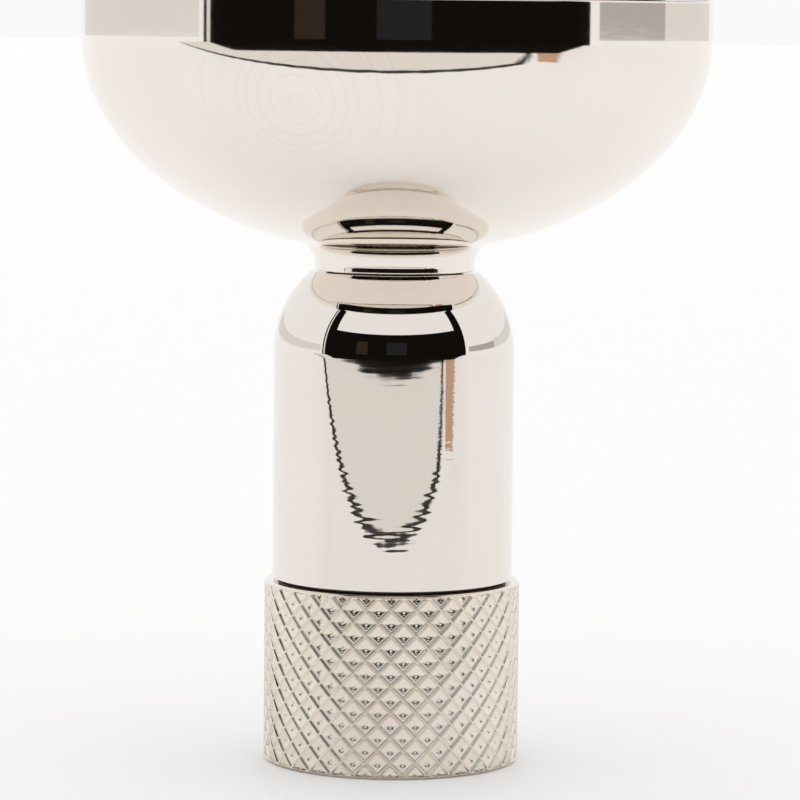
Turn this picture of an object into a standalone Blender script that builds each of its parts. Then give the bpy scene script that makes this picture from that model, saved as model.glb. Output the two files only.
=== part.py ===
"""Head of a take-apart brass mouthpiece, silver plated, standing on its knurled end.

Every sub-part is a turned piece about the world Z axis. The origin is the centre of the
flat base, +Z runs up the bore to the playing rim. Lengths are metres.
"""
import math

import bmesh
import bpy

MM = 0.001

# Running and seating gaps between neighbouring pieces.
SEAT_GAP = 0.05 * MM
SLIDE_GAP = 0.03 * MM
THREAD_GAP = 0.10 * MM

# Screw-on rim: rounded playing contour over a threaded skirt that enters the cup.
RIM_R = 13.75 * MM
RIM_BOTTOM_Z = 33.50 * MM
RIM_EDGE_Z = 33.62 * MM
RIM_TOP_Z = 35.60 * MM
RIM_HIGH_R = 10.90 * MM
RIM_BITE_R = 8.45 * MM
RIM_BITE_Z = 34.80 * MM
RIM_BEVEL = 0.06 * MM
SKIRT_R = 11.00 * MM
SKIRT_BOTTOM_Z = 31.20 * MM

# Cup: straight band over an elliptical bowl, neck, and a spigot fixed in the receiver.
BOWL_CENTRE_Z = 31.78 * MM
BOWL_DEPTH = 9.39 * MM
NECK_R = 3.50 * MM
NECK_FILLET = 1.00 * MM
NECK_BOTTOM_Z = 21.65 * MM
SPIGOT_R = 2.90 * MM
SPIGOT_BOTTOM_Z = 12.20 * MM
THROAT_R = 1.85 * MM

# Cup cavity: a quarter ellipse that the inside of the rim's skirt carries on.
CAVITY_R = 8.35 * MM
CAVITY_TOP_Z = 33.90 * MM
CAVITY_BOTTOM_Z = 24.60 * MM

# O-ring under the rim, kept in a recess at the root of its skirt.
RIM_SEAL_R = 11.33 * MM
RIM_SEAL_SECTION_R = 0.24 * MM

# Receiver: round-shouldered sleeve over a journal that carries the collar.
BODY_R = 5.29 * MM
SHOULDER_R = 4.50 * MM
SHOULDER_Z = 18.12 * MM
BODY_BOTTOM_Z = 8.13 * MM
JOURNAL_R = 4.55 * MM
JOURNAL_BOTTOM_Z = 0.55 * MM
SOCKET_R = 3.40 * MM
SOCKET_TOP_Z = 11.20 * MM
COUNTERBORE_TOP_Z = 5.20 * MM

# Knurled collar: a net of crossing ridges with a pit in each diamond.
COLLAR_BORE_R = 4.62 * MM
COLLAR_BOTTOM_Z = 0.04 * MM
COLLAR_TOP_Z = 7.99 * MM
KNURL_RIDGE_R = 5.62 * MM
KNURL_PIT_R = 5.32 * MM
KNURL_FACE_R = 5.50 * MM
KNURL_CHAMFER = 0.10 * MM
KNURL_COUNT = 32
KNURL_HALF_ROWS = 14

# Small rings on the journal.
WASHER_INNER_R = 4.62 * MM
WASHER_OUTER_R = 5.05 * MM
WASHER_THICKNESS = 0.08 * MM
DRAG_RING_R = 4.38 * MM
DRAG_RING_SECTION_R = 0.20 * MM
DRAG_RING_Z = 6.80 * MM
DRAG_GROOVE_R = 4.14 * MM
DRAG_GROOVE_HALF = 0.27 * MM

# End bush: threaded socket lining with a flange that the object stands on.
BUSH_R = 3.92 * MM
BUSH_TOP_Z = 5.12 * MM
FLANGE_R = 4.90 * MM
FLANGE_TOP_Z = 0.50 * MM
FLANGE_CHAMFER = 0.08 * MM

TURN_STEPS = 40
RING_STEPS = 32
SMOOTH_ANGLE = math.radians(35)


def clear_scene():
    for obj in list(bpy.data.objects):
        bpy.data.objects.remove(obj)


def make_collection(name):
    collection = bpy.data.collections.new(name)
    bpy.context.scene.collection.children.link(collection)
    return collection


def make_material(name, colour, roughness, metallic):
    material = bpy.data.materials.new(name)
    material.use_nodes = True
    shader = material.node_tree.nodes["Principled BSDF"]
    shader.inputs["Base Color"].default_value = (*colour, 1.0)
    shader.inputs["Roughness"].default_value = roughness
    shader.inputs["Metallic"].default_value = metallic
    return material


def ellipse_arc(centre_r, centre_z, radius_r, radius_z, start, end, count):
    """Points on an ellipse in the (r, z) plane, from angle start to end in degrees."""
    points = []
    for k in range(count + 1):
        angle = math.radians(start + (end - start) * k / count)
        points.append((centre_r + radius_r * math.cos(angle),
                       centre_z + radius_z * math.sin(angle)))
    return points


def turned(name, profile, steps, collection, material):
    """Turn a closed (r, z) outline about +Z; it runs down its outer side."""
    outline = bpy.data.meshes.new(name + "_outline")
    count = len(profile)
    outline.from_pydata([(r, 0.0, z) for r, z in profile],
                        [(k, (k + 1) % count) for k in range(count)], [])
    lathe = bpy.data.objects.new(name + "_lathe", outline)
    collection.objects.link(lathe)
    screw = lathe.modifiers.new("Turn", "SCREW")
    screw.axis = "Z"
    screw.angle = math.tau
    screw.steps = steps
    screw.render_steps = steps
    screw.use_merge_vertices = True
    screw.merge_threshold = 1e-6
    depsgraph = bpy.context.evaluated_depsgraph_get()
    mesh = bpy.data.meshes.new_from_object(lathe.evaluated_get(depsgraph))
    bpy.data.objects.remove(lathe)
    bpy.data.meshes.remove(outline)
    mesh.name = name
    mesh.materials.clear()
    mesh.materials.append(material)
    mesh.shade_smooth()
    mesh.set_sharp_from_angle(angle=SMOOTH_ANGLE)
    obj = bpy.data.objects.new(name, mesh)
    collection.objects.link(obj)
    return obj


def cavity_angle(height):
    """Angle on the cavity's ellipse, in degrees, at a height."""
    depth = CAVITY_TOP_Z - CAVITY_BOTTOM_Z
    return math.degrees(math.asin((height - CAVITY_TOP_Z) / depth))


def cavity_arc(low_z, high_z, count):
    """Wall of the cup cavity, upwards from one height to another."""
    return ellipse_arc(THROAT_R, CAVITY_TOP_Z, CAVITY_R - THROAT_R,
                       CAVITY_TOP_Z - CAVITY_BOTTOM_Z,
                       cavity_angle(low_z), cavity_angle(high_z), count)


def rim_profile():
    """Rounded playing contour, seal recess and threaded skirt."""
    outer = ellipse_arc(RIM_HIGH_R, RIM_EDGE_Z, RIM_R - RIM_HIGH_R,
                        RIM_TOP_Z - RIM_EDGE_Z, 90, 0, 6)
    bite = ellipse_arc(RIM_HIGH_R, RIM_BITE_Z, RIM_HIGH_R - RIM_BITE_R,
                       RIM_TOP_Z - RIM_BITE_Z, 180, 90, 5)[:-1]
    recess_r = RIM_SEAL_R + RIM_SEAL_SECTION_R + 0.08 * MM
    recess_top = RIM_BOTTOM_Z + 2 * RIM_SEAL_SECTION_R + 0.04 * MM
    return outer + [
        (RIM_R, RIM_BOTTOM_Z + RIM_BEVEL),
        (RIM_R - RIM_BEVEL, RIM_BOTTOM_Z),
        (recess_r, RIM_BOTTOM_Z),
        (recess_r, recess_top),
        (SKIRT_R, recess_top),
        (SKIRT_R, SKIRT_BOTTOM_Z + 0.15 * MM),
        (SKIRT_R - 0.15 * MM, SKIRT_BOTTOM_Z),
    ] + cavity_arc(SKIRT_BOTTOM_Z, CAVITY_TOP_Z, 2) + bite


def bowl_end_angle():
    """Angle on the bowl's ellipse where a fillet of NECK_FILLET runs into the neck.

    At that angle the bowl and the fillet share one normal and one radius.
    """
    low = math.radians(45)
    high = math.radians(89)
    for _ in range(60):
        angle = (low + high) / 2
        tilt = math.atan(RIM_R / BOWL_DEPTH * math.tan(angle))
        if RIM_R * math.cos(angle) > NECK_R + NECK_FILLET * (1 - math.cos(tilt)):
            low = angle
        else:
            high = angle
    return angle, tilt


def cup_profile():
    """Band, bowl, neck and spigot outside; thread seat, cavity and throat inside."""
    top_z = RIM_BOTTOM_Z - SEAT_GAP
    ledge_z = SKIRT_BOTTOM_Z - SEAT_GAP
    thread_r = SKIRT_R + THREAD_GAP
    end_angle, end_tilt = bowl_end_angle()
    bowl = ellipse_arc(0.0, BOWL_CENTRE_Z, RIM_R, BOWL_DEPTH, 0, -math.degrees(end_angle), 12)
    fillet_z = bowl[-1][1] - NECK_FILLET * math.sin(end_tilt)
    fillet = ellipse_arc(NECK_R + NECK_FILLET, fillet_z, NECK_FILLET, NECK_FILLET,
                         180 - math.degrees(end_tilt), 180, 4)[1:]
    return [
        (RIM_R - RIM_BEVEL, top_z),
        (RIM_R, top_z - RIM_BEVEL),
    ] + bowl + fillet + [
        (NECK_R, NECK_BOTTOM_Z),
        (SPIGOT_R, NECK_BOTTOM_Z),
        (SPIGOT_R, SPIGOT_BOTTOM_Z + 0.2 * MM),
        (SPIGOT_R - 0.2 * MM, SPIGOT_BOTTOM_Z),
        (THROAT_R, SPIGOT_BOTTOM_Z),
    ] + cavity_arc(CAVITY_BOTTOM_Z, ledge_z, 7) + [
        (thread_r, ledge_z),
        (thread_r, top_z),
    ]


def receiver_profile():
    """Round shoulder, straight body, grooved journal; spigot bore and socket inside."""
    top_z = NECK_BOTTOM_Z - SEAT_GAP
    arc_r = BODY_R - SHOULDER_R
    start = math.degrees(math.asin((top_z - SHOULDER_Z) / SHOULDER_R))
    shoulder = ellipse_arc(arc_r, SHOULDER_Z, SHOULDER_R, SHOULDER_R, start, 0, 7)
    bore_r = SPIGOT_R + THREAD_GAP
    return shoulder + [
        (BODY_R, BODY_BOTTOM_Z + 0.1 * MM),
        (BODY_R - 0.1 * MM, BODY_BOTTOM_Z),
        (JOURNAL_R, BODY_BOTTOM_Z),
        (JOURNAL_R, DRAG_RING_Z + DRAG_GROOVE_HALF),
        (DRAG_GROOVE_R, DRAG_RING_Z + DRAG_GROOVE_HALF),
        (DRAG_GROOVE_R, DRAG_RING_Z - DRAG_GROOVE_HALF),
        (JOURNAL_R, DRAG_RING_Z - DRAG_GROOVE_HALF),
        (JOURNAL_R, JOURNAL_BOTTOM_Z),
        (BUSH_R + THREAD_GAP, JOURNAL_BOTTOM_Z),
        (BUSH_R + THREAD_GAP, COUNTERBORE_TOP_Z),
        (SOCKET_R, COUNTERBORE_TOP_Z),
        (SOCKET_R, SOCKET_TOP_Z),
        (bore_r, SOCKET_TOP_Z),
        (bore_r, top_z),
    ]


def knurl_row_z(row):
    """Height of a half row of the knurl, counted up from the bottom."""
    low = COLLAR_BOTTOM_Z + KNURL_CHAMFER
    high = COLLAR_TOP_Z - KNURL_CHAMFER
    return low + (high - low) * row / KNURL_HALF_ROWS


def collar_profile():
    rows = [(KNURL_RIDGE_R, knurl_row_z(row)) for row in range(KNURL_HALF_ROWS, -1, -1)]
    ledge_z = FLANGE_TOP_Z + SEAT_GAP
    counterbore_r = FLANGE_R + SEAT_GAP
    return [(KNURL_FACE_R, COLLAR_TOP_Z)] + rows + [
        (KNURL_FACE_R, COLLAR_BOTTOM_Z),
        (counterbore_r, COLLAR_BOTTOM_Z),
        (counterbore_r, ledge_z),
        (COLLAR_BORE_R, ledge_z),
        (COLLAR_BORE_R, COLLAR_TOP_Z),
    ]


def knurl(obj):
    """Sink every second point of the outer wall, so that each makes a pit.

    Grid points whose column and row add up to an even number are pits. The others are
    where two ridges cross, and each wall square is split between its two crossings.
    """
    column_step = math.pi / KNURL_COUNT
    row_step = knurl_row_z(1) - knurl_row_z(0)
    mesh = bmesh.new()
    mesh.from_mesh(obj.data)
    crossings = set()
    wall = set()
    for vert in mesh.verts:
        if abs(math.hypot(vert.co.x, vert.co.y) - KNURL_RIDGE_R) > 0.01 * MM:
            continue
        wall.add(vert)
        column = round(math.atan2(vert.co.y, vert.co.x) / column_step)
        row = round((vert.co.z - knurl_row_z(0)) / row_step)
        if (column + row) % 2:
            crossings.add(vert)
        elif 0 < row < KNURL_HALF_ROWS:
            vert.co.x *= KNURL_PIT_R / KNURL_RIDGE_R
            vert.co.y *= KNURL_PIT_R / KNURL_RIDGE_R
    squares = [face for face in mesh.faces if all(vert in wall for vert in face.verts)]
    for face in squares:
        ends = [vert for vert in face.verts if vert in crossings]
        bmesh.utils.face_split(face, ends[0], ends[1])
    mesh.to_mesh(obj.data)
    mesh.free()
    obj.data.set_sharp_from_angle(angle=SMOOTH_ANGLE)


def bush_profile():
    return [
        (BUSH_R - 0.1 * MM, BUSH_TOP_Z),
        (BUSH_R, BUSH_TOP_Z - 0.1 * MM),
        (BUSH_R, FLANGE_TOP_Z),
        (FLANGE_R, FLANGE_TOP_Z),
        (FLANGE_R, FLANGE_CHAMFER),
        (FLANGE_R - FLANGE_CHAMFER, 0.0),
        (SOCKET_R + 0.15 * MM, 0.0),
        (SOCKET_R, 0.15 * MM),
        (SOCKET_R, BUSH_TOP_Z),
    ]


def washer_profile():
    top_z = BODY_BOTTOM_Z - SLIDE_GAP
    low_z = top_z - WASHER_THICKNESS
    return [
        (WASHER_OUTER_R, top_z),
        (WASHER_OUTER_R, low_z),
        (WASHER_INNER_R, low_z),
        (WASHER_INNER_R, top_z),
    ]


def ring_profile(centre_r, centre_z, section_r):
    """Round section of an O-ring, taken clockwise so that its outer side runs down."""
    return ellipse_arc(centre_r, centre_z, section_r, section_r, 360, 0, 8)[:-1]


clear_scene()
parts = make_collection("mouthpiece_head")
plate = make_material("silver_plate", (0.86, 0.82, 0.77), 0.08, 1.0)
brass = make_material("turned_brass", (0.78, 0.60, 0.30), 0.30, 1.0)
rubber = make_material("black_rubber", (0.02, 0.02, 0.02), 0.60, 0.0)
nylon = make_material("dark_nylon", (0.10, 0.09, 0.08), 0.50, 0.0)

turned("rim", rim_profile(), TURN_STEPS, parts, plate)
turned("cup", cup_profile(), TURN_STEPS, parts, plate)
turned("receiver_body", receiver_profile(), TURN_STEPS, parts, plate)
collar = turned("knurled_collar", collar_profile(), 2 * KNURL_COUNT, parts, plate)
knurl(collar)
turned("end_bush", bush_profile(), RING_STEPS, parts, brass)
turned("collar_washer", washer_profile(), RING_STEPS, parts, nylon)
rim_seal_z = RIM_BOTTOM_Z + RIM_SEAL_SECTION_R + 0.02 * MM
turned("rim_o_ring", ring_profile(RIM_SEAL_R, rim_seal_z, RIM_SEAL_SECTION_R),
       RING_STEPS, parts, rubber)
turned("collar_o_ring", ring_profile(DRAG_RING_R, DRAG_RING_Z, DRAG_RING_SECTION_R),
       RING_STEPS, parts, rubber)
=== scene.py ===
"""Looks of the mouthpiece head: polished turned metal in a white photo booth.

Every piece is turned about the object's own axis from an (r, z) outline, in metres. The outer
sizes come from the frame's boxes; the sizes below are those that no box gives.
"""
import math

import bpy
import numpy as np
from mathutils import Matrix, Vector


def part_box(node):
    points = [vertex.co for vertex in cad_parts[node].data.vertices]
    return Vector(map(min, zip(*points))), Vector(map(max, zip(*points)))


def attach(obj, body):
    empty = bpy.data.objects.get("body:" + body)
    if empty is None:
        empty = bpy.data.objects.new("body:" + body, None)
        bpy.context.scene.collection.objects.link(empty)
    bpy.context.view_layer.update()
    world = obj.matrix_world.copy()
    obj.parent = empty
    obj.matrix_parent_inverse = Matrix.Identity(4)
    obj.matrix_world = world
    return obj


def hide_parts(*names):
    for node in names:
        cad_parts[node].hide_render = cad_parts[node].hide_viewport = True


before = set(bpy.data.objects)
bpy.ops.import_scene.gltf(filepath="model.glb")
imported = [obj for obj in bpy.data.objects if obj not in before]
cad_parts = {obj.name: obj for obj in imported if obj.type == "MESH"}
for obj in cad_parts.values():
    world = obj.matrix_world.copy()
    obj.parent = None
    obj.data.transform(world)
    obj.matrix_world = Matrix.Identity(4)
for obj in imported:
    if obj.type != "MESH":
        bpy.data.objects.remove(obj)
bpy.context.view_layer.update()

MM = 0.001

# ---------------------------------------------------------------- sizes
rim_low, rim_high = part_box("rim")
cup_low, cup_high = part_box("cup")
body_low, body_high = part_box("receiver_body")
collar_low, collar_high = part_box("knurled_collar")
bush_low, bush_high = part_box("end_bush")
washer_low, washer_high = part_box("collar_washer")
rim_ring_low, rim_ring_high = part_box("rim_o_ring")
drag_low, drag_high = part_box("collar_o_ring")

# Gaps between neighbouring pieces, and the edge break of the rim and the cup.
SEAT_GAP = 0.05 * MM
THREAD_GAP = 0.10 * MM
BEVEL = 0.06 * MM
# Rounding of corners and longest span of the outlines of the rim and the cup.
CORNER = 0.05 * MM
OUTLINE_STEP = 0.07 * MM

# Rim: rounded top, bite into the cup, threaded skirt.
RIM_R = rim_high.x
RIM_EDGE_Z = 33.62 * MM
RIM_HIGH_R = 10.90 * MM
RIM_BITE_R = 8.45 * MM
RIM_BITE_Z = 34.80 * MM
RING_SIDE_GAP = 0.08 * MM
RING_TOP_GAP = 0.02 * MM
SKIRT_R = 11.00 * MM
SKIRT_CHAMFER = 0.15 * MM
RIM_THREAD_PITCH = 0.75 * MM
RIM_THREAD_DEPTH = 0.36 * MM
THREAD_RUNOUT = 0.10 * MM

# Cup: elliptical bowl, neck, spigot, throat, and the cavity that the rim's skirt carries on.
BOWL_CENTRE_Z = 31.78 * MM
BOWL_DEPTH = 9.39 * MM
NECK_R = 3.50 * MM
NECK_FILLET = 1.00 * MM
SPIGOT_R = 2.90 * MM
SPIGOT_CHAMFER = 0.20 * MM
THROAT_R = 1.85 * MM
CAVITY_R = 8.35 * MM
CAVITY_LOW_Z = 24.60 * MM
CAVITY_HIGH_Z = 33.90 * MM

# Receiver: round shoulder, straight wall, grooved journal, socket.
BODY_R = body_high.x
SHOULDER_R = 4.50 * MM
SHOULDER_Z = 18.12 * MM
STEP_Z = 8.11 * MM
STEP_BEVEL = 0.03 * MM
JOURNAL_R = 4.55 * MM
GROOVE_R = 4.14 * MM
GROOVE_MARGIN = 0.07 * MM
LINING_R = 4.02 * MM
LINING_TOP_Z = 5.20 * MM
SOCKET_R = 3.40 * MM
SOCKET_TOP_Z = 11.20 * MM

# Collar: plain bore, counterbore over the bush's flange, net of crossing ridges outside.
COLLAR_BORE_R = 4.62 * MM
COLLAR_FACE_R = 5.50 * MM
COLLAR_EDGE = 0.05 * MM
FLANGE_GAP = 0.05 * MM
FLANGE_RECESS_Z = 0.55 * MM
KNURL_CHAMFER = 0.10 * MM
KNURL_COUNT = 32
KNURL_HALF_ROWS = 14
KNURL_FINENESS = 16
KNURL_END_FADE = 0.07 * MM
DIMPLE_DEPTH = 0.070 * MM
DIMPLE_REACH = 0.16

# End bush: threaded lining with a flange.
BUSH_R = 3.92 * MM
BUSH_CHAMFER = 0.10 * MM
FLANGE_TOP_Z = 0.50 * MM
FLANGE_CHAMFER = 0.08 * MM
SOCKET_CHAMFER = 0.15 * MM
SHANK_THREAD_PITCH = 0.70 * MM
SHANK_THREAD_DEPTH = 0.30 * MM
SHANK_THREAD_LOW_Z = 0.20 * MM
SHANK_THREAD_HIGH_Z = 4.90 * MM

# Steps round the axis: large pieces, small pieces.
TURN_STEPS = 320
RING_STEPS = 192
# How near a point's radius must be to a wall to count as lying on it.
ON_WALL = 0.001 * MM


# ---------------------------------------------------------------- mesh helpers
def arc(centre_r, centre_z, radius_r, radius_z, start, end, count):
    """Points on an ellipse in the (r, z) plane from angle start to end, in degrees."""
    angles = np.radians(np.linspace(start, end, count + 1))
    return [(centre_r + radius_r * math.cos(t), centre_z + radius_z * math.sin(t)) for t in angles]


def soften(profile, radius, limit_deg=25.0, points=5):
    """Round every corner of a closed (r, z) outline that turns more than limit_deg."""
    out = []
    count = len(profile)
    for k in range(count):
        before = np.array(profile[k - 1])
        here = np.array(profile[k])
        after = np.array(profile[(k + 1) % count])
        to_before = before - here
        to_after = after - here
        length_a = np.linalg.norm(to_before)
        length_b = np.linalg.norm(to_after)
        cosine = float(np.dot(to_before, to_after) / max(length_a * length_b, 1e-15))
        turn = math.degrees(math.pi - math.acos(max(-1.0, min(1.0, cosine))))
        if turn < limit_deg:
            out.append(tuple(here))
            continue
        reach = min(radius, 0.4 * length_a, 0.4 * length_b)
        first = here + to_before / length_a * reach
        last = here + to_after / length_b * reach
        for step in range(points):
            t = step / (points - 1)
            point = (1 - t) ** 2 * first + 2 * t * (1 - t) * here + t ** 2 * last
            out.append(tuple(point))
    return out


def densify(profile, step, guard=0.02 * MM):
    """Add points along every span longer than step, and guard points beside its ends."""
    out = []
    count = len(profile)
    for k in range(count):
        start = np.array(profile[k])
        end = np.array(profile[(k + 1) % count])
        length = float(np.linalg.norm(end - start))
        out.append(tuple(start))
        if length <= 4 * guard:
            continue
        stops = [guard / length]
        pieces = max(1, math.ceil(length / step))
        stops += [index / pieces for index in range(1, pieces)]
        stops.append(1 - guard / length)
        out += [tuple(start + (end - start) * t) for t in stops]
    return out


def finish_outline(profile, corner, step):
    """Outline with its corners rounded and its long spans divided."""
    return densify(soften(profile, corner), step)


def mesh_piece(name, vertices, faces):
    """Smooth mesh object in the scene, from vertices in metres and faces by index."""
    mesh = bpy.data.meshes.new(name)
    mesh.from_pydata(vertices, [], faces)
    mesh.validate()
    mesh.shade_smooth()
    piece = bpy.data.objects.new(name, mesh)
    bpy.context.scene.collection.objects.link(piece)
    return piece


def lathe(name, profile, segments, relief=None):
    """Turn a closed (r, z) outline about Z. relief(angle, r, z) may shift each radius."""
    outline = np.array(profile)
    count = len(outline)
    angles = np.arange(segments) * math.tau / segments
    radius = np.repeat(outline[None, :, 0], segments, axis=0)
    height = np.repeat(outline[None, :, 1], segments, axis=0)
    if relief is not None:
        radius = radius + relief(angles[:, None], radius, height)
    vertices = np.stack([radius * np.cos(angles)[:, None],
                         radius * np.sin(angles)[:, None], height], axis=2)
    faces = []
    for i in range(segments):
        here = i * count
        there = (i + 1) % segments * count
        for j in range(count):
            k = (j + 1) % count
            faces.append((here + j, here + k, there + k, there + j))
    return mesh_piece(name, vertices.reshape(-1, 3).tolist(), faces)


def thread_relief(low_z, high_z, near_r, pitch, depth):
    """Right-hand V-thread in the wall at near_r, run out at both ends.

    A positive depth cuts towards the axis, as on a bolt, and a negative one away from it.
    """
    def shift(angle, radius, height):
        phase = (height / pitch - angle / math.tau) % 1.0
        groove = np.clip(1.25 - 2.5 * np.abs(phase - 0.5), 0.0, 1.0)
        fade = np.clip((height - low_z) / pitch, 0, 1) * np.clip((high_z - height) / pitch, 0, 1)
        on_wall = np.abs(radius - near_r) < 0.02 * MM
        return np.where(on_wall, -depth * groove * fade, 0.0)
    return shift


# ---------------------------------------------------------------- materials
def new_material(name):
    """New node material, with its nodes, its links and its Principled shader."""
    material = bpy.data.materials.new(name)
    material.use_nodes = True
    nodes = material.node_tree.nodes
    return material, nodes, material.node_tree.links, nodes["Principled BSDF"]


def math_node(nodes, links, operation, *values):
    """Result of a math operation on one or two sockets."""
    node = nodes.new("ShaderNodeMath")
    node.operation = operation
    for socket, value in zip(node.inputs, values):
        links.new(value, socket)
    return node.outputs[0]


def turned_coordinates(nodes, links):
    """Texture coordinates, and a vector of radius and height that is the same all round."""
    coords = nodes.new("ShaderNodeTexCoord")
    split = nodes.new("ShaderNodeSeparateXYZ")
    links.new(coords.outputs["Object"], split.inputs[0])
    x, y, z = split.outputs
    squares = math_node(nodes, links, "ADD", math_node(nodes, links, "MULTIPLY", x, x),
                        math_node(nodes, links, "MULTIPLY", y, y))
    radius = math_node(nodes, links, "SQRT", squares)
    across = nodes.new("ShaderNodeCombineXYZ")
    links.new(radius, across.inputs[0])
    links.new(z, across.inputs[2])
    return coords, across.outputs[0]


def noise(nodes, links, vector, scale, detail=3.0, roughness=0.5):
    """Noise texture over a coordinate vector."""
    node = nodes.new("ShaderNodeTexNoise")
    node.inputs["Scale"].default_value = scale
    node.inputs["Detail"].default_value = detail
    node.inputs["Roughness"].default_value = roughness
    links.new(vector, node.inputs["Vector"])
    return node


def remap(nodes, links, value, low, high, in_low=0.3, in_high=0.7):
    """Value stretched from in_low..in_high to low..high, held at the ends."""
    node = nodes.new("ShaderNodeMapRange")
    node.inputs["From Min"].default_value = in_low
    node.inputs["From Max"].default_value = in_high
    node.inputs["To Min"].default_value = low
    node.inputs["To Max"].default_value = high
    links.new(value, node.inputs["Value"])
    return node.outputs[0]


def bump(nodes, links, height, distance, normal=None):
    """Normal bent by a height that is worth distance metres."""
    node = nodes.new("ShaderNodeBump")
    node.inputs["Strength"].default_value = 1.0
    node.inputs["Distance"].default_value = distance
    links.new(height, node.inputs["Height"])
    if normal is not None:
        links.new(normal, node.inputs["Normal"])
    return node.outputs[0]


def rubbed_arcs(nodes, links, coords, centre, reach):
    """Faint hand-polishing arcs: thin lines at equal distance from a point, fading outwards."""
    away = nodes.new("ShaderNodeVectorMath")
    away.operation = "DISTANCE"
    links.new(coords.outputs["Object"], away.inputs[0])
    away.inputs[1].default_value = centre
    along = nodes.new("ShaderNodeCombineXYZ")
    links.new(away.outputs["Value"], along.inputs[0])
    lines = noise(nodes, links, along.outputs[0], 5200.0, 2.0, 0.7)
    drawn = remap(nodes, links, lines.outputs["Fac"], 0.0, 2.2, 0.50, 0.66)
    near = remap(nodes, links, away.outputs["Value"], 1.0, 0.0, 0.35 * reach, reach)
    return math_node(nodes, links, "MULTIPLY", drawn, near)


def two_tone(nodes, links, shader, light, dark, blend, clamp=True):
    """Base colour between dark and light, by a value from 0 to 1."""
    mix = nodes.new("ShaderNodeMix")
    mix.data_type = "RGBA"
    mix.clamp_factor = clamp
    mix.inputs["A"].default_value = (*dark, 1.0)
    mix.inputs["B"].default_value = (*light, 1.0)
    links.new(blend, mix.inputs["Factor"])
    links.new(mix.outputs["Result"], shader.inputs["Base Color"])


def turned_metal(name, light, dark, gloss, ripple, scratch, rubbed=None):
    """Polished turned metal: rings about the axis, hairline marks and a faint warm tone.

    gloss is the range of roughness, ripple and scratch are depths in metres, and rubbed is
    the centre and the reach of a patch of polishing arcs.
    """
    material, nodes, links, shader = new_material(name)
    coords, across = turned_coordinates(nodes, links)
    rings = noise(nodes, links, across, 2600.0, 4.0, 0.6)
    swirl = nodes.new("ShaderNodeMapping")
    swirl.inputs["Scale"].default_value = (1.0, 1.0, 9.0)
    links.new(coords.outputs["Object"], swirl.inputs[0])
    marks = noise(nodes, links, swirl.outputs[0], 900.0, 5.0, 0.65)
    tone = noise(nodes, links, coords.outputs["Object"], 160.0, 3.0, 0.5)
    shade = remap(nodes, links, tone.outputs["Fac"], 0.0, 1.0)
    if rubbed is not None:
        arcs = rubbed_arcs(nodes, links, coords, *rubbed)
        shade = math_node(nodes, links, "SUBTRACT", shade, arcs)
    two_tone(nodes, links, shader, light, dark, shade, clamp=rubbed is None)
    shader.inputs["Metallic"].default_value = 1.0
    links.new(remap(nodes, links, marks.outputs["Fac"], gloss[0], gloss[1]),
              shader.inputs["Roughness"])
    ringed = bump(nodes, links, rings.outputs["Fac"], ripple)
    links.new(bump(nodes, links, marks.outputs["Fac"], scratch, ringed), shader.inputs["Normal"])
    return material


def dull_solid(name, light, dark, scale, rough, relief):
    """Rubber or moulded plastic: mottled tone and a fine grain."""
    material, nodes, links, shader = new_material(name)
    coords = nodes.new("ShaderNodeTexCoord")
    grain = noise(nodes, links, coords.outputs["Object"], scale, 4.0, 0.6)
    tone = remap(nodes, links, grain.outputs["Fac"], 0.0, 1.0)
    two_tone(nodes, links, shader, light, dark, tone)
    links.new(remap(nodes, links, grain.outputs["Fac"], rough[0], rough[1]),
              shader.inputs["Roughness"])
    links.new(bump(nodes, links, grain.outputs["Fac"], relief), shader.inputs["Normal"])
    return material


RUBBED_CENTRE = (-4.1 * MM, -12.6 * MM, 29.3 * MM)
RUBBED_REACH = 6.5 * MM
PLATE_LIGHT = (0.890, 0.828, 0.766)

rim_plate = turned_metal("mirror_plate", PLATE_LIGHT, (0.872, 0.806, 0.740),
                         (0.03, 0.06), 1.2e-7, 4e-8)
bowl_plate = turned_metal("bowl_plate", PLATE_LIGHT, (0.868, 0.802, 0.736),
                          (0.03, 0.06), 1.2e-7, 4e-8, (RUBBED_CENTRE, RUBBED_REACH))
body_plate = turned_metal("body_plate", (0.848, 0.795, 0.746), (0.828, 0.772, 0.716),
                          (0.014, 0.030), 6e-8, 4e-8)
knurl_plate = turned_metal("knurl_plate", (0.880, 0.815, 0.735), (0.80, 0.725, 0.63),
                           (0.07, 0.17), 6e-7, 9e-7)
brass = turned_metal("turned_brass", (0.80, 0.60, 0.27), (0.70, 0.50, 0.20),
                     (0.16, 0.30), 1.5e-6, 3e-7)
rubber = dull_solid("black_rubber", (0.030, 0.029, 0.028), (0.014, 0.014, 0.014), 2500.0,
                    (0.45, 0.65), 1e-6)
nylon = dull_solid("dark_nylon", (0.085, 0.078, 0.070), (0.055, 0.050, 0.046), 1800.0,
                   (0.40, 0.58), 1e-6)


def dress(piece, body, node, material):
    """Give a piece its material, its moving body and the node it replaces."""
    piece.data.materials.append(material)
    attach(piece, body)
    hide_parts(node)


# ---------------------------------------------------------------- rim and cup
def cavity_wall(low_z, high_z, count):
    """Wall of the cup's cavity between two heights, upwards along its ellipse."""
    depth = CAVITY_HIGH_Z - CAVITY_LOW_Z
    ends = [math.degrees(math.asin((z - CAVITY_HIGH_Z) / depth)) for z in (low_z, high_z)]
    return arc(THROAT_R, CAVITY_HIGH_Z, CAVITY_R - THROAT_R, depth, *ends, count)


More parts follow.
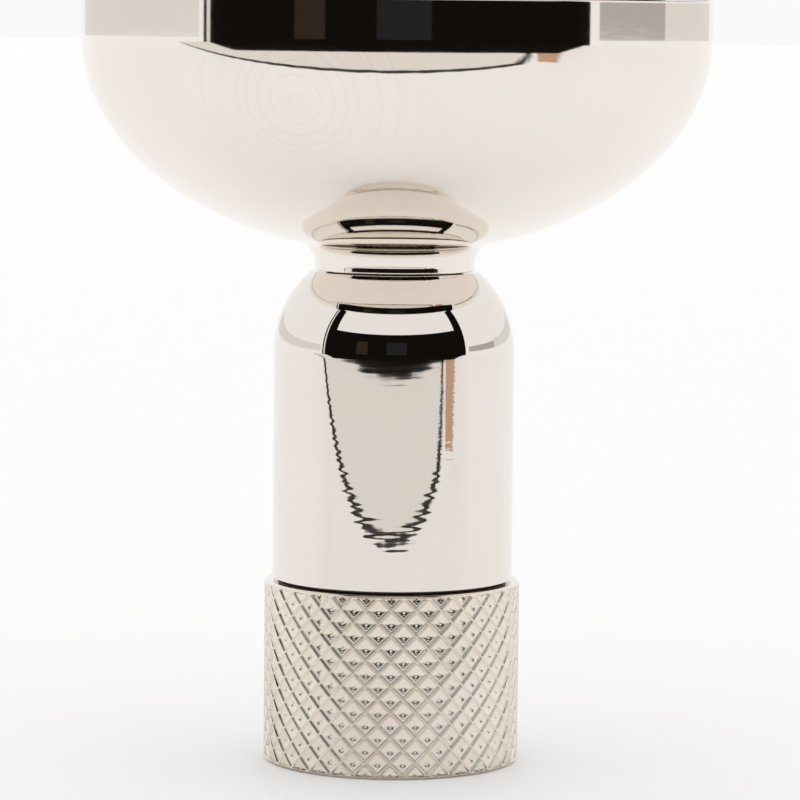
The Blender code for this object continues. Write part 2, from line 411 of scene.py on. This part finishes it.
def make_rim():
    """Rounded playing contour over a recess for its ring and a threaded skirt."""
    seat_z = cup_high.z + SEAT_GAP
    recess_r = rim_ring_high.x + RING_SIDE_GAP
    recess_top = rim_ring_high.z + RING_TOP_GAP
    thread_low = rim_low.z + SKIRT_CHAMFER
    outer = arc(RIM_HIGH_R, RIM_EDGE_Z, RIM_R - RIM_HIGH_R, rim_high.z - RIM_EDGE_Z, 90, 0, 48)
    bite = arc(RIM_HIGH_R, RIM_BITE_Z, RIM_HIGH_R - RIM_BITE_R, rim_high.z - RIM_BITE_Z,
               180, 90, 40)[:-1]
    outline = outer + [
        (RIM_R, seat_z + BEVEL),
        (RIM_R - BEVEL, seat_z),
        (recess_r, seat_z),
        (recess_r, recess_top),
        (SKIRT_R, recess_top),
        (SKIRT_R, thread_low),
        (SKIRT_R - SKIRT_CHAMFER, rim_low.z),
    ] + cavity_wall(rim_low.z, CAVITY_HIGH_Z, 30) + bite
    thread = thread_relief(thread_low, recess_top, SKIRT_R, RIM_THREAD_PITCH, RIM_THREAD_DEPTH)
    piece = lathe("rim_turned", finish_outline(outline, CORNER, OUTLINE_STEP), TURN_STEPS, thread)
    dress(piece, "rim", "rim", rim_plate)


def bowl_end():
    """Angle where the bowl's ellipse runs smoothly into the neck's fillet, and its tilt."""
    low, high = math.radians(45), math.radians(89)
    for _ in range(60):
        angle = (low + high) / 2
        tilt = math.atan(RIM_R / BOWL_DEPTH * math.tan(angle))
        if RIM_R * math.cos(angle) > NECK_R + NECK_FILLET * (1 - math.cos(tilt)):
            low = angle
        else:
            high = angle
    return math.degrees(angle), math.degrees(tilt)


def make_cup():
    """Band, bowl, neck and spigot outside; thread seat, cavity and throat inside."""
    end_angle, end_tilt = bowl_end()
    bowl = arc(0.0, BOWL_CENTRE_Z, RIM_R, BOWL_DEPTH, 0, -end_angle, 160)
    fillet_z = bowl[-1][1] - NECK_FILLET * math.sin(math.radians(end_tilt))
    fillet = arc(NECK_R + NECK_FILLET, fillet_z, NECK_FILLET, NECK_FILLET,
                 180 - end_tilt, 180, 40)[1:]
    neck_low = body_high.z + SEAT_GAP
    ledge_z = rim_low.z - SEAT_GAP
    bore_r = SKIRT_R + THREAD_GAP
    outline = [
        (RIM_R - BEVEL, cup_high.z),
        (RIM_R, cup_high.z - BEVEL),
    ] + bowl + fillet + [
        (NECK_R, neck_low),
        (SPIGOT_R, neck_low),
        (SPIGOT_R, cup_low.z + SPIGOT_CHAMFER),
        (SPIGOT_R - SPIGOT_CHAMFER, cup_low.z),
        (THROAT_R, cup_low.z),
    ] + cavity_wall(CAVITY_LOW_Z, ledge_z, 90) + [
        (bore_r, ledge_z),
        (bore_r, cup_high.z),
    ]
    thread = thread_relief(ledge_z + THREAD_RUNOUT, cup_high.z - THREAD_RUNOUT, bore_r,
                           RIM_THREAD_PITCH, -RIM_THREAD_DEPTH)
    piece = lathe("cup_turned", finish_outline(outline, CORNER, OUTLINE_STEP), TURN_STEPS, thread)
    dress(piece, "stem", "cup", bowl_plate)


# ---------------------------------------------------------------- receiver
# Feed marks on the straight wall: length in mm, slope, phase.
FEED_MARKS = ((0.310, 0.0019, 0.3), (0.223, 0.0014, 1.7), (0.471, 0.0013, 4.1), (0.137, 0.0011, 2.2))
FEED_DRIFT = 0.6
FEED_LOBES = 3
FEED_INSET = 0.0004 * MM


def turning_marks(angle, radius, height):
    """Feed marks left by the tool, a few hundred nanometres deep, stronger towards the collar."""
    depth = np.zeros_like(height)
    for length, slope, phase in FEED_MARKS:
        turns = height / (length * MM) + FEED_DRIFT * np.sin(FEED_LOBES * angle + phase)
        depth += slope * length * MM / math.tau * np.sin(turns * math.tau + phase)
    strength = np.interp(height, (8 * MM, 13 * MM, 18 * MM), (1.5, 1.1, 0.22))
    wall = np.abs(radius - BODY_R) < ON_WALL
    return np.where(wall, depth * strength - FEED_INSET, 0.0)


def make_receiver():
    """Round-shouldered sleeve over the journal that carries the collar."""
    start = math.degrees(math.asin((body_high.z - SHOULDER_Z) / SHOULDER_R))
    groove_low = drag_low.z - GROOVE_MARGIN
    groove_high = drag_high.z + GROOVE_MARGIN
    bore_r = SPIGOT_R + THREAD_GAP
    shoulder = arc(BODY_R - SHOULDER_R, SHOULDER_Z, SHOULDER_R, SHOULDER_R, start, 0, 90)
    outline = shoulder + [
        (BODY_R, STEP_Z + STEP_BEVEL),
        (BODY_R - STEP_BEVEL, STEP_Z),
        (JOURNAL_R, STEP_Z),
        (JOURNAL_R, groove_high),
        (GROOVE_R, groove_high),
        (GROOVE_R, groove_low),
        (JOURNAL_R, groove_low),
        (JOURNAL_R, body_low.z),
        (LINING_R, body_low.z),
        (LINING_R, LINING_TOP_Z),
        (SOCKET_R, LINING_TOP_Z),
        (SOCKET_R, SOCKET_TOP_Z),
        (bore_r, SOCKET_TOP_Z),
        (bore_r, body_high.z),
    ]
    piece = lathe("receiver_turned", finish_outline(outline, 0.04 * MM, 0.045 * MM), TURN_STEPS,
                  turning_marks)
    dress(piece, "stem", "receiver_body", body_plate)


# ---------------------------------------------------------------- knurled collar
KNURL_R = collar_high.x
KNURL_LOW_Z = collar_low.z + KNURL_CHAMFER
KNURL_HIGH_Z = collar_high.z - KNURL_CHAMFER
# Depth in mm from a ridge (0) to the middle of a cell (1): steep flank, then a nearly flat floor.
CELL_STOPS = (0.0, 0.0625, 0.1875, 0.25, 0.5, 0.5625, 1.0)
CELL_DEPTHS = (0.0, 0.012, 0.100, 0.106, 0.109, 0.116, 0.119)


def diamond_relief(angle, radius, height):
    """Net of narrow crossing ridges; every diamond between them is a shallow dimpled pit."""
    u = angle / (math.pi / KNURL_COUNT)
    v = (height - KNURL_LOW_Z) / ((KNURL_HIGH_Z - KNURL_LOW_Z) / KNURL_HALF_ROWS)
    across = np.abs((u + v) / 2 - np.round((u + v) / 2))
    along = np.abs((u - v) / 2 - np.round((u - v) / 2))
    rise = 1 - 2 * np.maximum(across, along)
    dimple = np.clip(1 - np.hypot(across, along) / DIMPLE_REACH, 0.0, 1.0)
    depth = np.interp(rise, CELL_STOPS, CELL_DEPTHS) * MM + DIMPLE_DEPTH * dimple
    edge = np.minimum(height - KNURL_LOW_Z, KNURL_HIGH_Z - height)
    depth = depth * np.clip(edge / KNURL_END_FADE, 0.0, 1.0)
    return np.where(np.abs(radius - KNURL_R) < ON_WALL, -depth, 0.0)


def make_collar():
    """Captive collar: knurled wall between two plain edges, counterbored for the flange."""
    rows = KNURL_HALF_ROWS * KNURL_FINENESS
    wall = [(KNURL_R, KNURL_HIGH_Z - (KNURL_HIGH_Z - KNURL_LOW_Z) * k / rows)
            for k in range(rows + 1)]
    rounding = 0.01 * MM
    recess_r = bush_high.x + FLANGE_GAP
    outline = [
        (COLLAR_BORE_R, collar_high.z),
        (COLLAR_FACE_R - COLLAR_EDGE, collar_high.z),
        (COLLAR_FACE_R, collar_high.z - rounding),
    ] + wall + [
        (COLLAR_FACE_R, collar_low.z + rounding),
        (COLLAR_FACE_R - COLLAR_EDGE, collar_low.z),
        (recess_r, collar_low.z),
        (recess_r, FLANGE_RECESS_Z),
        (COLLAR_BORE_R, FLANGE_RECESS_Z),
    ]
    piece = lathe("collar_knurled", outline, 2 * KNURL_COUNT * KNURL_FINENESS, diamond_relief)
    piece.data.set_sharp_from_angle(angle=math.radians(50))
    dress(piece, "collar", "knurled_collar", knurl_plate)


# ---------------------------------------------------------------- end bush and small rings
def make_bush():
    """Threaded socket lining with the flange that the object stands on."""
    outline = [
        (BUSH_R - BUSH_CHAMFER, bush_high.z),
        (BUSH_R, bush_high.z - BUSH_CHAMFER),
        (BUSH_R, FLANGE_TOP_Z),
        (bush_high.x, FLANGE_TOP_Z),
        (bush_high.x, FLANGE_CHAMFER),
        (bush_high.x - FLANGE_CHAMFER, bush_low.z),
        (SOCKET_R + SOCKET_CHAMFER, bush_low.z),
        (SOCKET_R, SOCKET_CHAMFER),
        (SOCKET_R, bush_high.z),
    ]
    thread = thread_relief(SHANK_THREAD_LOW_Z, SHANK_THREAD_HIGH_Z, SOCKET_R,
                           SHANK_THREAD_PITCH, -SHANK_THREAD_DEPTH)
    piece = lathe("bush_turned", finish_outline(outline, 0.03 * MM, 0.06 * MM), RING_STEPS, thread)
    dress(piece, "stem", "end_bush", brass)


def make_washer():
    """Flat washer in the gap above the collar."""
    outline = [
        (washer_high.x, washer_high.z),
        (washer_high.x, washer_low.z),
        (COLLAR_BORE_R, washer_low.z),
        (COLLAR_BORE_R, washer_high.z),
    ]
    piece = lathe("washer_moulded", finish_outline(outline, 0.05 * MM, 0.1 * MM), RING_STEPS)
    dress(piece, "stem", "collar_washer", nylon)


def make_o_ring(name, low, high, node, body):
    """Round-section rubber ring in the space of its CAD solid."""
    section = (high.z - low.z) / 2
    outline = arc(high.x - section, low.z + section, section, section, 360, 0, 24)[:-1]
    dress(lathe(name, outline, RING_STEPS), body, node, rubber)


make_rim()
make_cup()
make_receiver()
make_collar()
make_bush()
make_washer()
make_o_ring("rim_ring_moulded", rim_ring_low, rim_ring_high, "rim_o_ring", "rim_seal")
make_o_ring("drag_ring_moulded", drag_low, drag_high, "collar_o_ring", "stem")


# ---------------------------------------------------------------- booth: floor, cards, world
EYE_Z = 32.556 * MM
WHITE = (1.0, 1.0, 1.0, 1.0)
WORLD_STRENGTH = 0.955
FLOOR_HALF = 6.0
FLOOR_WHITE = (0.975, 0.975, 0.975, 1.0)
FLOOR_GLOW = 0.06

# Plan of the table in front, in metres: its far edge, and the edge of the sheet on it.
TABLE_EDGE = [(-0.900, -0.290), (-0.190, -0.118), (-0.127, -0.164), (-0.060, -0.186),
              (0.000, -0.192), (0.060, -0.186), (0.127, -0.164), (0.190, -0.118), (0.900, -0.290)]
SHEET_BACK = [(-0.600, -0.076), (-0.159, -0.077)]
SHEET_FRONT = [(-0.159, -0.077), (-0.050, -0.080), (0.000, -0.081), (0.046, -0.083),
               (0.080, -0.087)]
SHEET_SIDE = [(0.080, -0.087), (0.102, -0.103), (0.129, -0.124), (0.205, -0.195)]
SHEET_END = (-0.600, -0.195)
SHADOW_STRIP_HALF_WIDTH = 0.0035
WOOD_NEAR = [(0.101, -0.086), (0.112, -0.072)]
WOOD_RIGHT = [(0.112, -0.072), (0.240, -0.140)]
WOOD_LEFT = [(0.205, -0.174), (0.101, -0.086)]
ROOM_CORNERS = [(3, -3), (-3, -3)]


def glow(name, colour):
    """Material that shines evenly with its own colour."""
    material = bpy.data.materials.new(name)
    material.use_nodes = True
    nodes = material.node_tree.nodes
    nodes.clear()
    emit = nodes.new("ShaderNodeEmission")
    emit.inputs["Color"].default_value = (*colour, 1.0)
    out = nodes.new("ShaderNodeOutputMaterial")
    material.node_tree.links.new(emit.outputs[0], out.inputs[0])
    return material


def reflected_card(name, vertices, faces, material):
    """Card of the booth that only shows in reflections."""
    obj = mesh_piece(name, vertices, faces)
    obj.data.materials.append(material)
    obj.visible_camera = False
    obj.visible_diffuse = False
    obj.visible_shadow = False


def flat_card(name, corners, z, material):
    """Level sheet with the given corners, lying just over the floor."""
    vertices = [(x, y, z) for x, y in corners]
    reflected_card(name, vertices, [tuple(range(len(corners)))], material)


def strip_card(name, points, half_width, z, material):
    """Narrow level strip along a polyline, cut into one flat piece for each span."""
    vertices, faces = [], []
    for k, (x, y) in enumerate(points):
        vertices += [(x + 0.5 * half_width, y + half_width, z),
                     (x - 0.5 * half_width, y - half_width, z)]
        if k:
            faces.append((2 * k - 2, 2 * k, 2 * k + 1, 2 * k - 1))
    reflected_card(name, vertices, faces, material)


def sky_card(name, azimuths, elevations, distance, material):
    """Patch of a sphere round the object. Azimuth 0 is in front, positive to the right."""
    columns, rows = 48, 16
    vertices = []
    for i in range(columns + 1):
        azimuth = math.radians(azimuths[0] + (azimuths[1] - azimuths[0]) * i / columns)
        for j in range(rows + 1):
            elevation = math.radians(elevations[0] + (elevations[1] - elevations[0]) * j / rows)
            vertices.append((distance * math.cos(elevation) * math.sin(azimuth),
                             -distance * math.cos(elevation) * math.cos(azimuth),
                             EYE_Z + distance * math.sin(elevation)))
    faces = []
    for i in range(columns):
        for j in range(rows):
            corner = i * (rows + 1) + j
            faces.append((corner, corner + rows + 1, corner + rows + 2, corner + 1))
    reflected_card(name, vertices, faces, material)


def jagged(points, spacing, amplitude):
    """Points along a polyline, every spacing, pushed sideways to and fro by up to amplitude."""
    out = []
    count = 0
    for start, end in zip(points, points[1:]):
        start, end = Vector(start), Vector(end)
        side = Vector((start.y - end.y, end.x - start.x)).normalized()
        steps = max(1, round((end - start).length / spacing))
        for k in range(steps):
            push = 0.6 * math.sin(2.3 * count) + 0.4 * math.sin(4.1 * count + 1.0)
            out.append(tuple(start.lerp(end, k / steps) + side * push * amplitude))
            count += 1
    return out + [points[-1]]


def make_floor():
    """Matt white sheet that the object stands on, faintly lit from within."""
    material, nodes, links, shader = new_material("booth_white")
    coords = nodes.new("ShaderNodeTexCoord")
    grain = noise(nodes, links, coords.outputs["Object"], 40.0)
    links.new(remap(nodes, links, grain.outputs["Fac"], 0.55, 0.65), shader.inputs["Roughness"])
    shader.inputs["Base Color"].default_value = FLOOR_WHITE
    shader.inputs["Emission Color"].default_value = WHITE
    shader.inputs["Emission Strength"].default_value = FLOOR_GLOW
    corners = [(-FLOOR_HALF, -FLOOR_HALF, 0), (FLOOR_HALF, -FLOOR_HALF, 0),
               (FLOOR_HALF, FLOOR_HALF, 0), (-FLOOR_HALF, FLOOR_HALF, 0)]
    floor = mesh_piece("floor_sheet", corners, [(0, 1, 2, 3)])
    floor.data.materials.append(material)


def make_table():
    """Grey sheet in front with a painted shadow along its edge, bare wood beside it, and the dark
    room beyond.
    """
    edge = (jagged(SHEET_BACK, 0.020, 0.0004) + jagged(SHEET_FRONT, 0.006, 0.0008)
            + jagged(SHEET_SIDE, 0.0028, 0.0050))
    wood_outline = (jagged(WOOD_NEAR, 0.004, 0.001) + jagged(WOOD_RIGHT, 0.0035, 0.0055)
                    + jagged(WOOD_LEFT, 0.0035, 0.0020))
    # Glowing cards, no lamps: painted light of the table and the wood, seen only in reflections.
    table_grey = glow("card_table", (0.82, 0.80, 0.77))
    # Near-black strip along the sheet's edge: painted shadow at the edge, seen only in reflections.
    painted_edge_shadow = glow("card_shadow_gap", (0.040, 0.036, 0.033))
    wood = glow("card_wood", (0.56, 0.37, 0.25))
    flat_card("card_table_front", edge + [SHEET_END], 0.4 * MM, table_grey)
    strip_card("card_edge_shadow_strip", edge, SHADOW_STRIP_HALF_WIDTH, 0.5 * MM, painted_edge_shadow)
    flat_card("card_wood", wood_outline, 0.45 * MM, wood)
    flat_card("card_beyond_table", TABLE_EDGE + ROOM_CORNERS, 0.6 * MM, dark)


def make_room():
    """Dark opening in front with a white panel before it, and low grey walls at the sides, as
    glowing cards of painted light and shade.
    """
    brownish = glow("card_brownish", (0.035, 0.024, 0.016))
    # The same grey wall glows at two levels: painted light, and painted shade on the near right
    # side.
    wall_light = glow("card_wall_light", (0.78, 0.77, 0.75))
    wall_dim = glow("card_wall_dim", (0.47, 0.45, 0.43))
    panel_white = glow("card_panel", (0.93, 0.93, 0.92))
    faint = glow("card_faint", (0.019, 0.019, 0.021))
    sky_card("card_opening", (-72, 72), (-4, 60), 0.60, dark)
    sky_card("card_panel", (-60, 63), (21, 45), 0.50, panel_white)
    sky_card("card_brown_patch", (-36, -25), (-1, 12.5), 0.52, brownish)
    sky_card("card_faint_patch", (-7, 12), (-1, 12.5), 0.52, faint)
    sky_card("card_post", (-70.5, -69), (-3, 40), 0.50, wall_light)
    sky_card("card_side_left", (-155, -74), (-0.4, 5), 0.52, wall_light)
    sky_card("card_side_right", (76, 111), (-0.4, 4), 0.52, wall_dim)
    sky_card("card_side_right_far", (111, 155), (-0.4, 5), 0.52, wall_light)


def make_world():
    """Even white light from everywhere."""
    world = bpy.data.worlds.new("booth")
    bpy.context.scene.world = world
    world.use_nodes = True
    background = world.node_tree.nodes["Background"]
    background.inputs["Color"].default_value = WHITE
    background.inputs["Strength"].default_value = WORLD_STRENGTH


# Near-black glow for the opening and the room beyond the table: painted shade of the unlit room,
# seen only in reflections.
dark = glow("card_dark", (0.006, 0.005, 0.004))
make_floor()
make_table()
make_room()
make_world()

# ---------------------------------------------------------------- camera
CAMERA_X = 0.28 * MM
CAMERA_DISTANCE = 175.2 * MM
CAMERA_PITCH = math.radians(5.427)
CAMERA_ROLL = math.radians(0.55)


def make_camera():
    """Long lens just below the level of the bowl's top edge, looking slightly down."""
    data = bpy.data.cameras.new("camera")
    data.sensor_width = 36
    data.lens = 180
    data.clip_start = 0.01
    data.clip_end = 20
    camera = bpy.data.objects.new("camera", data)
    bpy.context.scene.collection.objects.link(camera)
    camera.location = (CAMERA_X, -CAMERA_DISTANCE, EYE_Z)
    facing = Matrix.Rotation(math.pi / 2 - CAMERA_PITCH, 4, "X")
    roll = Matrix.Rotation(CAMERA_ROLL, 4, "Z")
    camera.rotation_euler = (facing @ roll).to_euler()
    bpy.context.scene.camera = camera
    bpy.context.scene.view_settings.view_transform = "Standard"


make_camera()
